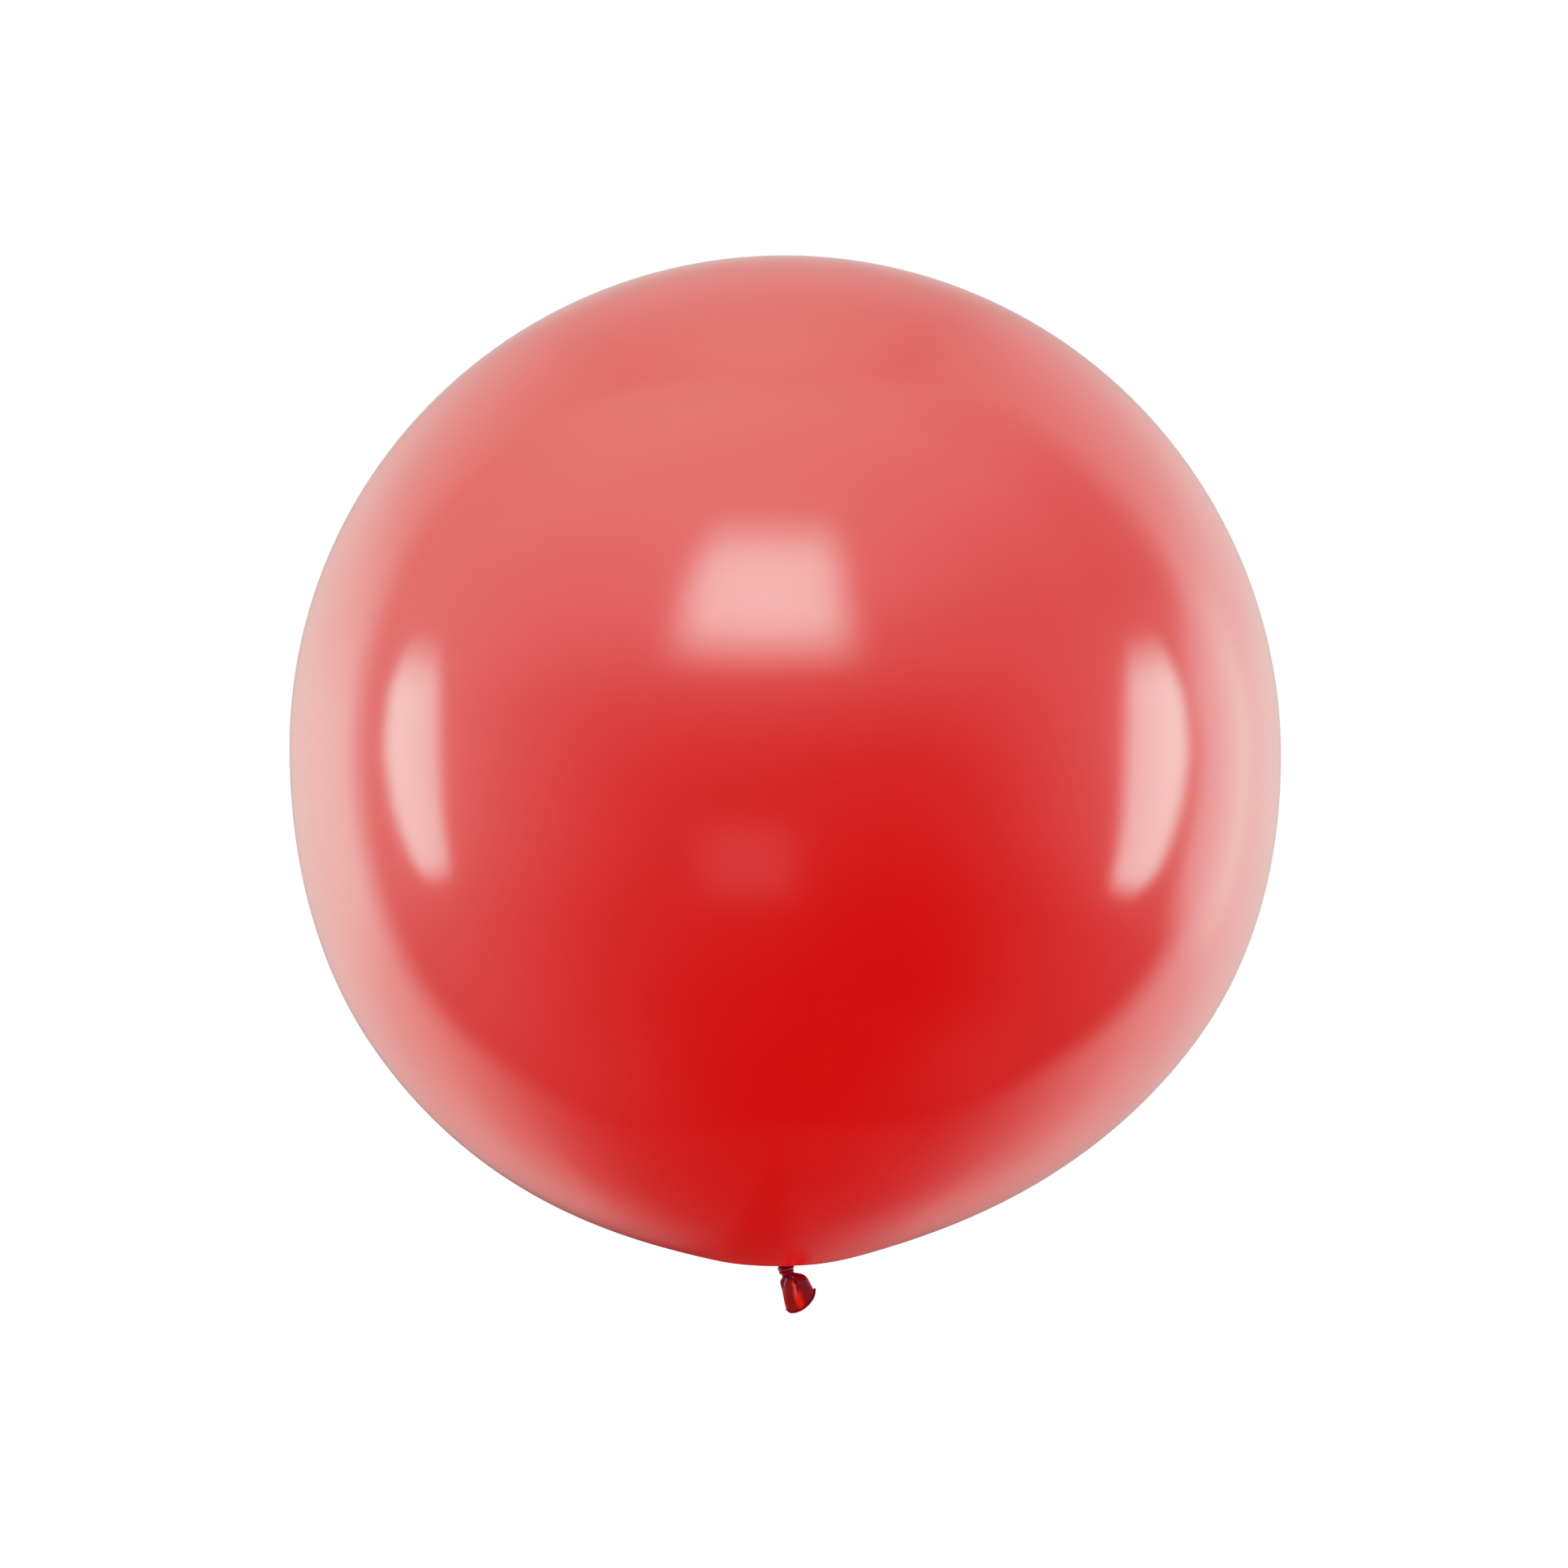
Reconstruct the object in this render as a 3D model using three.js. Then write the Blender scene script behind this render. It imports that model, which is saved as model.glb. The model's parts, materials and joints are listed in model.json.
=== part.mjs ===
// Round latex balloon, blown up to a metre across and tied off with an overhand knot.
// Millimetres, +Z up, front towards -Y. The origin is where a ribbon is tied: the centre of
// the neck, level with the underside of the envelope. The loose tail hangs below the knot and
// leans towards +X.
import * as THREE from "three";

const rad = THREE.MathUtils.degToRad;

// Envelope: a ball above its widest line, a little deeper below it, with a soft point at the neck
const BALL_R = 500;
const WALL = 0.1;
const DEEPER = 0.019;
const DEEPER_OVER = rad(35);
const POINT = 0.018;
const POINT_SPREAD = rad(14);
const LEAN = 0.0107;
const LEAN_TO = rad(62);
const LEAN_SPREAD = rad(75);
const RINGS = 26;
const SIDES = 48;

// Neck shoulder: the thicker, gathered latex that closes the envelope round the neck
const SHOULDER_R = 30;
const SHOULDER_WALL = 0.25;
const SHOULDER_HOLE_R = 4.4;
const DIMPLE_DEPTH = 5;
const DIMPLE_SPREAD = 9;
const GAP = 0.3;

// Neck stem: the neck pulled to a tight round bundle
const STEM_R = 3.6;
const STEM_TOP = 7;
const SWAY_PIVOT_Z = -0.5;

// Knot: two turns of the neck, lying side by side round the tucked-through core
const KNOT_AT = [2, 0, -7];
const KNOT_TILT = rad(14);
const TURN_PITCH = 4.6;
const BIGHT_RING_R = 6;
const BIGHT_R = 2.1;
const WRAP_RING_R = 5.4;
const WRAP_R = 2.2;
const CORE_R = 2.7;
const CORE_LOW = -2.1;
const CORE_HIGH = 2.7;
const CORE_ROUND = 0.6;

// Tail: a flattened sleeve that fans out from the throat to a rolled lip
const THROAT_AT = [4, 0, -13.2];
const THROAT_R = 3.9;
const TAIL_LEAN = rad(27);
const SLEEVE_WALL = 0.5;
const SLEEVE_START = 3;
const LIP_REACH = 34.85;
const LIP_SLANT = 0.2;
const LIP_BOW = 0.0147;
const LIP_HALF_WIDTH = 17.2;
const LIP_HALF_DEPTH = 5.2;
const BEAD_R = 1.15;
const LIP_SETBACK = 2.1;

const latex = (color, roughness) => new THREE.MeshStandardMaterial({ color, roughness, metalness: 0 });
const envelopeLatex = latex(0xd41c1a, 0.18);
const neckLatex = latex(0x8c0a08, 0.25);

function piece(name, geometry, material) {
  const mesh = new THREE.Mesh(geometry, material);
  mesh.name = name;
  return mesh;
}

// Revolves [radius, height] points about Z.
function turned(points, sides) {
  const profile = points.map(([r, z]) => new THREE.Vector2(r, z));
  return new THREE.LatheGeometry(profile, sides).rotateX(Math.PI / 2);
}

// Moves every vertex of a geometry to the place that change(vertex) returns.
function reshaped(geometry, change) {
  const position = geometry.getAttribute("position");
  const vertex = new THREE.Vector3();
  for (let i = 0; i < position.count; i += 1) {
    vertex.fromBufferAttribute(position, i);
    position.setXYZ(i, ...change(vertex).toArray());
  }
  geometry.computeVertexNormals();
  return geometry;
}

// Values from one number to another in equal steps.
function steps(from, to, count) {
  return Array.from({ length: count + 1 }, (_, i) => THREE.MathUtils.lerp(from, to, i / count));
}

// ---- Envelope and shoulder ----

// Distance from the ball's centre to the skin, at an angle up from straight down.
function reach(angle) {
  const below = Math.max(0, Math.PI / 2 - angle);
  const deeper = DEEPER * THREE.MathUtils.smoothstep(below, 0, DEEPER_OVER);
  const point = POINT * Math.exp(-((angle / POINT_SPREAD) ** 2));
  return BALL_R * (1 + deeper + point);
}

const CENTRE_Z = reach(0);

function angleAt(radius) {
  return Math.asin(radius / CENTRE_Z);
}

function dimple(radius) {
  return DIMPLE_DEPTH * Math.exp(-((radius / DIMPLE_SPREAD) ** 2));
}

// A [radius, height] point of the skin, so far inside its outer surface.
function skinPoint(angle, inside) {
  const distance = reach(angle) - inside;
  return [distance * Math.sin(angle), CENTRE_Z - distance * Math.cos(angle)];
}

// The lower half leans slightly to -X, so the skin is drawn in on the +X side and out on the other.
function leaning(vertex) {
  const fromCentre = vertex.clone().sub(new THREE.Vector3(0, 0, CENTRE_Z));
  const angle = Math.PI - fromCentre.angleTo(new THREE.Vector3(0, 0, 1));
  const across = Math.atan2(vertex.y, vertex.x);
  const wave = Math.sin(Math.PI * (angle / LEAN_TO) ** 1.2) * Math.exp(-((angle / LEAN_SPREAD) ** 2));
  const shift = -LEAN * BALL_R * wave * Math.cos(across);
  return vertex.clone().addScaledVector(fromCentre.normalize(), shift);
}

function envelope() {
  const angles = steps(Math.PI, angleAt(SHOULDER_R), RINGS);
  const outer = angles.map((angle) => skinPoint(angle, 0));
  const inner = angles.map((angle) => skinPoint(angle, WALL)).reverse();
  outer[0][0] = 0;
  inner[RINGS][0] = 0;
  const profile = [...outer, ...inner].reverse();
  return piece("envelope", reshaped(turned(profile, SIDES), leaning), envelopeLatex);
}

function neckShoulder() {
  const angles = steps(angleAt(SHOULDER_R - GAP), angleAt(SHOULDER_HOLE_R), 10);
  const skin = (inside) => angles.map((angle) => {
    const [r, z] = skinPoint(angle, inside);
    return [r, z + dimple(r)];
  });
  const under = skin(0);
  const over = skin(SHOULDER_WALL).reverse();
  const profile = [...under, ...over, under[0]].reverse();
  return piece("neck_shoulder", reshaped(turned(profile, SIDES), leaning), neckLatex);
}

// ---- Neck stem and knot ----

function neckStem() {
  const end = steps(0, Math.PI / 2, 6).map((turn) => [
    STEM_R * Math.sin(turn),
    SWAY_PIVOT_Z - STEM_R * Math.cos(turn),
  ]);
  const profile = [...end, [STEM_R, STEM_TOP - 1], [STEM_R - 1, STEM_TOP], [0, STEM_TOP]];
  profile[0][0] = 0;
  return piece("neck_stem", turned(profile, 24), neckLatex);
}

function knotTurn(name, ringRadius, radius, height) {
  const turn = piece(name, new THREE.TorusGeometry(ringRadius, radius, 12, 32), neckLatex);
  turn.position.z = height;
  return turn;
}

function knotCore() {
  const profile = [
    [0, CORE_LOW],
    [CORE_R - CORE_ROUND, CORE_LOW],
    [CORE_R, CORE_LOW + CORE_ROUND],
    [CORE_R, CORE_HIGH - CORE_ROUND],
    [CORE_R - CORE_ROUND, CORE_HIGH],
    [0, CORE_HIGH],
  ];
  return piece("knot_core", turned(profile, 24), neckLatex);
}

function knot() {
  const group = new THREE.Group();
  group.position.set(...KNOT_AT);
  group.rotation.y = -KNOT_TILT;
  group.add(
    knotTurn("knot_bight", BIGHT_RING_R, BIGHT_R, TURN_PITCH / 2),
    knotTurn("knot_wrap", WRAP_RING_R, WRAP_R, -TURN_PITCH / 2),
    knotCore(),
  );
  return group;
}

// ---- Tail ----
// In the tail's own frame X runs across the flattened sleeve, Y through it and -Z down its length.

// How far down the lip lies, at a place across the sleeve.
function lipAt(across) {
  return LIP_REACH - LIP_SLANT * across - LIP_BOW * across ** 2;
}

function sleeveHalfWidth(along) {
  return 9.5 + 6 * (1 - Math.exp(-along / 0.12)) + 1.8 * along;
}

function sleeveHalfDepth(along) {
  return 4.4 + 0.9 * along + Math.sin(Math.PI * along);
}

// The sleeve starts as a plain tube of one unit's height, whose walls are then drawn out to the fan.
function tailSleeve() {
  const tubeR = 10;
  const stations = steps(0, 1, 12);
  const outer = stations.map((along) => [tubeR, along]);
  const inner = stations.map((along) => [tubeR - SLEEVE_WALL, along]).reverse();
  const tube = turned([...outer, ...inner, outer[0]].reverse(), 40);
  const fan = reshaped(tube, ({ x, y, z: along }) => {
    const turn = Math.atan2(y, x);
    const inside = Math.hypot(x, y) - tubeR;
    const across = (sleeveHalfWidth(along) + inside) * Math.cos(turn);
    const through = (sleeveHalfDepth(along) + inside) * Math.sin(turn);
    const end = lipAt(across) - BEAD_R - LIP_SETBACK;
    return new THREE.Vector3(across, through, -THREE.MathUtils.lerp(SLEEVE_START, end, along));
  });
  return piece("tail_sleeve", fan, neckLatex);
}

function lipLine(turn) {
  const across = LIP_HALF_WIDTH * Math.cos(turn);
  return new THREE.Vector3(across, LIP_HALF_DEPTH * Math.sin(turn), BEAD_R - lipAt(across));
}

// A ring whose round section is carried along the lip's line.
function lipBead() {
  const ringR = 10;
  const ring = new THREE.TorusGeometry(ringR, BEAD_R, 10, 56);
  const bead = reshaped(ring, ({ x, y, z: up }) => {
    const turn = Math.atan2(y, x);
    const out = Math.hypot(x, y) - ringR;
    const along = lipLine(turn + 0.01).sub(lipLine(turn - 0.01)).normalize();
    const outward = new THREE.Vector3(
      LIP_HALF_DEPTH * Math.cos(turn),
      LIP_HALF_WIDTH * Math.sin(turn),
      0,
    );
    outward.addScaledVector(along, -outward.dot(along)).normalize();
    const upward = outward.clone().cross(along);
    return lipLine(turn).addScaledVector(outward, out).addScaledVector(upward, up);
  });
  return piece("lip_bead", bead, neckLatex);
}

function tail() {
  const group = new THREE.Group();
  group.position.set(...THROAT_AT);
  group.rotation.y = -TAIL_LEAN;
  const throat = new THREE.SphereGeometry(THROAT_R, 24, 16).rotateX(Math.PI / 2);
  group.add(piece("tail_throat", throat, neckLatex), tailSleeve(), lipBead());
  return group;
}

const balloon = new THREE.Group();
balloon.add(envelope(), neckShoulder(), neckStem(), knot(), tail());
balloon.updateMatrixWorld(true);

export default balloon;
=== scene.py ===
"""Looks for a round latex balloon, a metre across, tied off with an overhand knot.

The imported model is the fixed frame. Each operator makes one piece, or a group of like pieces, in
metres around that frame, and the last one makes the studio. +Z is up, the front faces -Y and the
loose tail leans towards +X.
"""
import json
import math

import bpy
import numpy as np
from bpy.props import FloatProperty, FloatVectorProperty, IntProperty, PointerProperty
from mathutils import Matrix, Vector


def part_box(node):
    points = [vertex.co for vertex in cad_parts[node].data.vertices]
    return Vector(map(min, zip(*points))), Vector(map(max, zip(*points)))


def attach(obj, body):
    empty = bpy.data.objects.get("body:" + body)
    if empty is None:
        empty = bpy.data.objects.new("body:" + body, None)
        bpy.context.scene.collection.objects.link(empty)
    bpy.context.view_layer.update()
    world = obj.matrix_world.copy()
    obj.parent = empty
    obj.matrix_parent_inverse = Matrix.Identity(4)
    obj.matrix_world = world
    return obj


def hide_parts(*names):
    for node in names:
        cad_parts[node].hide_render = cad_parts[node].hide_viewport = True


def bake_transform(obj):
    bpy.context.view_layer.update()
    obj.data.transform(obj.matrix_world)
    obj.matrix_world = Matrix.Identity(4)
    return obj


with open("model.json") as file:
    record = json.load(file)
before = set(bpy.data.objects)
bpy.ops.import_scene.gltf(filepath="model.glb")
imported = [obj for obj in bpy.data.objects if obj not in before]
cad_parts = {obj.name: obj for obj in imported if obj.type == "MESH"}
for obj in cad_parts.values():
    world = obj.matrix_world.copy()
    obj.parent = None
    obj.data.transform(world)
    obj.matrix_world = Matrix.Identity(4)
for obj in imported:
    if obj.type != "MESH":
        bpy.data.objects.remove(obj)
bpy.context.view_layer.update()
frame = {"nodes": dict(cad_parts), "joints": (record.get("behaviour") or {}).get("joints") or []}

bl_info = {
    "name": "Tied Latex Balloon",
    "version": (1, 0, 0),
    "blender": (4, 5, 0),
    "location": "View3D > Sidebar > Balloon",
    "description": "Builds a round, tied latex balloon with its knot, pleated tail and studio",
    "category": "Add Mesh",
}

MM = 0.001

# The skin's outline, as shares of the ball's radius: deeper below the widest line, with a soft
# point at the neck, and the lower half leaning slightly to -X
DEEPER = 0.019
DEEPER_OVER = math.radians(35)
POINT = 0.018
POINT_SPREAD = math.radians(14)
LEAN = 0.0107
LEAN_TO = math.radians(62)
LEAN_SPREAD = math.radians(75)

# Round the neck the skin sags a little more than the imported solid, by a length at a radius
SAG = 1.9 * MM
SAG_AT = 52 * MM
SAG_SPREAD = 40 * MM

# How far round the neck the film is painted a brighter red, which stands in for light that the
# grazing gloss takes away, and how far the film is marked thick, and so also brighter, at the hole
# and at the crown
BRIGHTENED_ROUND_NECK = 150 * MM
THICK_AT_HOLE = 8 * MM
THICK_AT_CROWN = 16 * MM

CENTRE_SHARE = 1 + DEEPER + POINT
BALL_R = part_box("envelope")[1][2] / (1 + CENTRE_SHARE)
CENTRE_Z = CENTRE_SHARE * BALL_R
SHOULDER_R = (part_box("neck_shoulder")[1][0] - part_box("neck_shoulder")[0][0]) / 2


def joint_place(name):
    """Where a joint's axis is, in metres."""
    found = next(joint for joint in frame["joints"] if joint["name"] == name)
    return Vector(found["pos_m"])


def box_middle(node):
    low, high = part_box(node)
    return (Vector(low) + Vector(high)) / 2


# ---- Sizes and colours ----


class BalloonSizes(bpy.types.PropertyGroup):
    """Sizes of the pieces that a maker would change"""

    skin_rows: IntProperty(
        name="Skin rows", description="Rings of faces from the shoulder to the crown",
        default=150, min=24, max=400,
    )
    skin_columns: IntProperty(
        name="Skin columns", description="Faces round the skin", default=216, min=24, max=600,
    )
    dimple_depth: FloatProperty(
        name="Dimple depth", description="How far the skin is drawn up round the neck",
        default=5 * MM, subtype="DISTANCE", unit="LENGTH",
    )
    dimple_spread: FloatProperty(
        name="Dimple spread", description="How wide the dimple round the neck is",
        default=9 * MM, subtype="DISTANCE", unit="LENGTH",
    )
    gather_depth: FloatProperty(
        name="Gather depth", description="Height of the puckers that run into the neck",
        default=0.42 * MM, subtype="DISTANCE", unit="LENGTH",
    )
    turn_radius: FloatProperty(
        name="Turn radius", description="Half the width of the strand that makes the knot",
        default=2.35 * MM, subtype="DISTANCE", unit="LENGTH",
    )
    sleeve_wall: FloatProperty(
        name="Sleeve wall", description="Thickness of the tail's unstretched latex",
        default=0.45 * MM, subtype="DISTANCE", unit="LENGTH",
    )
    pleat_depth: FloatProperty(
        name="Pleat depth", description="Height of the tail's pleats at the throat",
        default=0.8 * MM, subtype="DISTANCE", unit="LENGTH",
    )
    bead_radius: FloatProperty(
        name="Bead radius", description="Half the thickness of the rolled lip",
        default=1.15 * MM, subtype="DISTANCE", unit="LENGTH",
    )


class LatexColours(bpy.types.PropertyGroup):
    """Colours of the latex, from the thin blown-up skin to the unstretched neck, with the painted
    light and painted shade laid on them
    """

    film: FloatVectorProperty(
        name="Film", description="The stretched skin", subtype="COLOR", size=3,
        default=(0.472, 0.0004, 0.0003), min=0, max=1,
    )
    # Painted light: a brighter red painted on the skin round the neck, which stands in for light
    # that the grazing gloss takes away. The random mottle and the crown spot take it too.
    film_painted_light_and_mottle: FloatVectorProperty(
        name="Thick film", description="The skin where it is least stretched, at the neck",
        subtype="COLOR", size=3, default=(0.7, 0.0003, 0.0002), min=0, max=1,
    )
    neck: FloatVectorProperty(
        name="Neck", description="The unstretched latex of the neck, knot and tail",
        subtype="COLOR", size=3, default=(0.19, 0.0007, 0.0002), min=0, max=1,
    )
    # Painted shade: a dark purple painted in the folds of the neck, knot and tail and in the lip's
    # groove. The neck's random mottle takes it too.
    neck_fold_shade_and_mottle: FloatVectorProperty(
        name="Fold", description="The unstretched latex deep in a fold", subtype="COLOR", size=3,
        default=(0.028, 0.0001, 0.03), min=0, max=1,
    )
    # Painted light: a bright red painted on the crests, the tail's side folds and the lip's lower
    # side, which stands in for light coming through the latex.
    neck_crest_painted_light: FloatVectorProperty(
        name="Crest", description="The unstretched latex where light comes through a crest",
        subtype="COLOR", size=3, default=(0.6, 0.007, 0.0008), min=0, max=1,
    )


class StudioSettings(bpy.types.PropertyGroup):
    """The camera and the light"""

    camera_distance: FloatProperty(
        name="Camera distance", description="From the camera to the middle of the balloon",
        default=5.0, subtype="DISTANCE", unit="LENGTH",
    )
    frame_width: FloatProperty(
        name="Frame width", description="Width that the picture takes in at the balloon",
        default=1.589, subtype="DISTANCE", unit="LENGTH",
    )
    aim_below_middle: FloatProperty(
        name="Aim below the middle", description="How far under the ball's middle the camera aims",
        default=0.033, subtype="DISTANCE", unit="LENGTH",
    )
    room_light: FloatProperty(
        name="Room light", description="Brightness of the even, white light all round",
        default=1.45, min=0,
    )
    box_strength: FloatProperty(
        name="Softbox strength", description="Brightness of the softboxes in the gloss",
        default=9.4, min=0,
    )
    floor_height: FloatProperty(
        name="Floor height", description="Where the floor lies", default=-4.8,
        subtype="DISTANCE", unit="LENGTH",
    )


# ---- Mesh helpers ----


def ring_sheet(name, rings, start_tip=None, end_tip=None):
    """A smooth sheet through rings of points (rows, around, 3), each row closed on itself.

    A tip closes that end with a fan to one point. The faces point away from the rows' middle when
    the points run anticlockwise as seen from the last row.
    """
    rows, around = rings.shape[:2]
    points = [tuple(point) for point in rings.reshape(-1, 3)]
    faces = []
    for row in range(rows - 1):
        for column in range(around):
            after = (column + 1) % around
            low, high = row * around, (row + 1) * around
            faces.append((low + column, low + after, high + after, high + column))
    for tip, row, flip in ((start_tip, 0, True), (end_tip, rows - 1, False)):
        if tip is None:
            continue
        points.append(tuple(tip))
        for column in range(around):
            edge = (row * around + column, row * around + (column + 1) % around)
            faces.append((*(edge[::-1] if flip else edge), len(points) - 1))
    mesh = bpy.data.meshes.new(name)
    mesh.from_pydata(points, [], faces)
    mesh.shade_smooth()
    mesh.update()
    piece = bpy.data.objects.new(name, mesh)
    bpy.context.scene.collection.objects.link(piece)
    return piece


def mark(piece, name, values):
    """Keeps a number for every point, which a material reads by name. Closing tips get 0."""
    attribute = piece.data.attributes.new(name, "FLOAT", "POINT")
    kept = np.zeros(len(piece.data.vertices), np.float32)
    kept[: values.size] = values.reshape(-1)
    attribute.data.foreach_set("value", kept)


def with_wall(piece, wall):
    """Gives a sheet a wall, inwards, and keeps the result as its mesh."""
    solid = piece.modifiers.new("wall", "SOLIDIFY")
    solid.thickness = wall
    solid.offset = -1
    solid.use_even_offset = False
    made = piece.evaluated_get(bpy.context.evaluated_depsgraph_get())
    mesh = bpy.data.meshes.new_from_object(made)
    piece.modifiers.clear()
    piece.data = mesh
    mesh.shade_smooth()


def smooth_step(value, low, high):
    share = np.clip((value - low) / (high - low), 0, 1)
    return share * share * (3 - 2 * share)


def bump_at(value, centre, width):
    return np.exp(-(((value - centre) / width) ** 2))


def folds(turn, shift=0.0):
    """Uneven pleats round a gathered tube, between about -1 and 1."""
    wide = 0.42 * np.cos(7 * turn + 2.1 + shift)
    main = 0.5 * np.cos(11 * turn + 0.7 - shift)
    fine = 0.22 * np.cos(17 * turn + 4.0 + 2 * shift)
    return wide + main + fine


# ---- Materials ----


def group_socket(tree, name, kind, way, default=None):
    socket = tree.interface.new_socket(name=name, in_out=way, socket_type=kind)
    if default is not None:
        socket.default_value = default
    return socket


def math_node(tree, operation, first, second, clamp=False):
    """A Math node; each value is a socket or a number. Returns its output."""
    node = tree.nodes.new("ShaderNodeMath")
    node.operation = operation
    node.use_clamp = clamp
    for socket, value in zip(node.inputs, (first, second)):
        if isinstance(value, (int, float)):
            socket.default_value = value
        else:
            tree.links.new(value, socket)
    return node.outputs[0]


def weighted(tree, first, first_weight, second, second_weight):
    """The sum of two values, each times its weight."""
    first = math_node(tree, "MULTIPLY", first, first_weight)
    return math_node(tree, "ADD", first, math_node(tree, "MULTIPLY", second, second_weight))


def colour_mix(tree, share, first, second):
    """Mixes two colours, each a socket or a colour. Returns the output."""
    node = tree.nodes.new("ShaderNodeMix")
    node.data_type = "RGBA"
    tree.links.new(share, node.inputs["Factor"])
    for socket, value in ((node.inputs[6], first), (node.inputs[7], second)):
        if isinstance(value, bpy.types.NodeSocket):
            tree.links.new(value, socket)
        else:
            socket.default_value = (*value, 1)
    return node.outputs[2]


def noise(tree, place, scale, detail, roughness=0.5):
    node = tree.nodes.new("ShaderNodeTexNoise")
    tree.links.new(place, node.inputs["Vector"])
    node.inputs["Detail"].default_value = detail
    node.inputs["Roughness"].default_value = roughness
    if isinstance(scale, (int, float)):
        node.inputs["Scale"].default_value = scale
    else:
        tree.links.new(scale, node.inputs["Scale"])
    return node.outputs["Fac"]


def dipped_latex_group():
    """Dipped latex: uneven thickness, run marks along the dip, fine grain and a patchy bloom."""
    name = "dipped latex"
    if name in bpy.data.node_groups:
        return bpy.data.node_groups[name]
    tree = bpy.data.node_groups.new(name, "ShaderNodeTree")
    group_socket(tree, "Film Colour", "NodeSocketColor", "INPUT")
    group_socket(tree, "Thick And Painted Light Colour", "NodeSocketColor", "INPUT")
    group_socket(tree, "Thickness", "NodeSocketFloat", "INPUT", 0.0)
    group_socket(tree, "Mottle", "NodeSocketFloat", "INPUT", 0.1)
    group_socket(tree, "Mottle Scale", "NodeSocketFloat", "INPUT", 9.0)
    group_socket(tree, "Grain Scale", "NodeSocketFloat", "INPUT", 900.0)
    group_socket(tree, "Polish", "NodeSocketFloat", "INPUT", 0.13)
    group_socket(tree, "Bloom", "NodeSocketFloat", "INPUT", 0.04)
    group_socket(tree, "Matte Where Thick", "NodeSocketFloat", "INPUT", 0.16)
    group_socket(tree, "Colour", "NodeSocketColor", "OUTPUT")
    group_socket(tree, "Roughness", "NodeSocketFloat", "OUTPUT")
    group_socket(tree, "Height", "NodeSocketFloat", "OUTPUT")
    given = tree.nodes.new("NodeGroupInput")
    result = tree.nodes.new("NodeGroupOutput")
    place = tree.nodes.new("ShaderNodeTexCoord").outputs["Object"]
    stretched = tree.nodes.new("ShaderNodeVectorMath")
    stretched.operation = "MULTIPLY"
    stretched.inputs[1].default_value = (1.0, 1.0, 0.22)
    tree.links.new(place, stretched.inputs[0])
    clouds = noise(tree, place, given.outputs["Mottle Scale"], 4, 0.6)
    run_scale = math_node(tree, "MULTIPLY", given.outputs["Mottle Scale"], 6)
    runs = noise(tree, stretched.outputs[0], run_scale, 3)
    grain = noise(tree, place, given.outputs["Grain Scale"], 2)
    uneven = weighted(tree, clouds, 1.3, runs, 0.7)
    centred = math_node(tree, "SUBTRACT", uneven, 1.0)
    shift = math_node(tree, "MULTIPLY", centred, given.outputs["Mottle"])
    thick = math_node(tree, "ADD", given.outputs["Thickness"], shift, clamp=True)
    # On the blown-up skin the thick mark brings in painted light: a brighter red round the neck
    colour = colour_mix(tree, thick, given.outputs["Film Colour"], given.outputs["Thick And Painted Light Colour"])
    bloom = math_node(tree, "MULTIPLY", clouds, given.outputs["Bloom"])
    thickness = given.outputs["Thickness"]
    matte = math_node(tree, "MULTIPLY", thickness, given.outputs["Matte Where Thick"])
    rough = math_node(tree, "ADD", math_node(tree, "ADD", given.outputs["Polish"], bloom), matte)
    height = weighted(tree, runs, 0.6, grain, 0.4)
    tree.links.new(colour, result.inputs["Colour"])
    tree.links.new(rough, result.inputs["Roughness"])
    tree.links.new(height, result.inputs["Height"])
    return tree


def fold_shade_group():
    """Paints shade into the colour in a fold and paints light along a crest, by the points' fold
    mark.
    """
    name = "fold shade"
    if name in bpy.data.node_groups:
        return bpy.data.node_groups[name]
    tree = bpy.data.node_groups.new(name, "ShaderNodeTree")
    group_socket(tree, "Colour", "NodeSocketColor", "INPUT")
    group_socket(tree, "Fold Shade Colour", "NodeSocketColor", "INPUT")
    group_socket(tree, "Crest Light Colour", "NodeSocketColor", "INPUT")
    group_socket(tree, "Depth", "NodeSocketFloat", "INPUT", 1.0)
    group_socket(tree, "Colour", "NodeSocketColor", "OUTPUT")
    given = tree.nodes.new("NodeGroupInput")
    result = tree.nodes.new("NodeGroupOutput")
    marked = tree.nodes.new("ShaderNodeAttribute")
    marked.attribute_name = "fold"
    fold = math_node(tree, "MULTIPLY", marked.outputs["Fac"], given.outputs["Depth"])
    down = math_node(tree, "MULTIPLY", fold, -1.0, clamp=True)
    up = math_node(tree, "MULTIPLY", fold, 1.0, clamp=True)
    deep = colour_mix(tree, down, given.outputs["Colour"], given.outputs["Fold Shade Colour"])
    both = colour_mix(tree, up, deep, given.outputs["Crest Light Colour"])
    tree.links.new(both, result.inputs["Colour"])
    return tree


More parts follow.
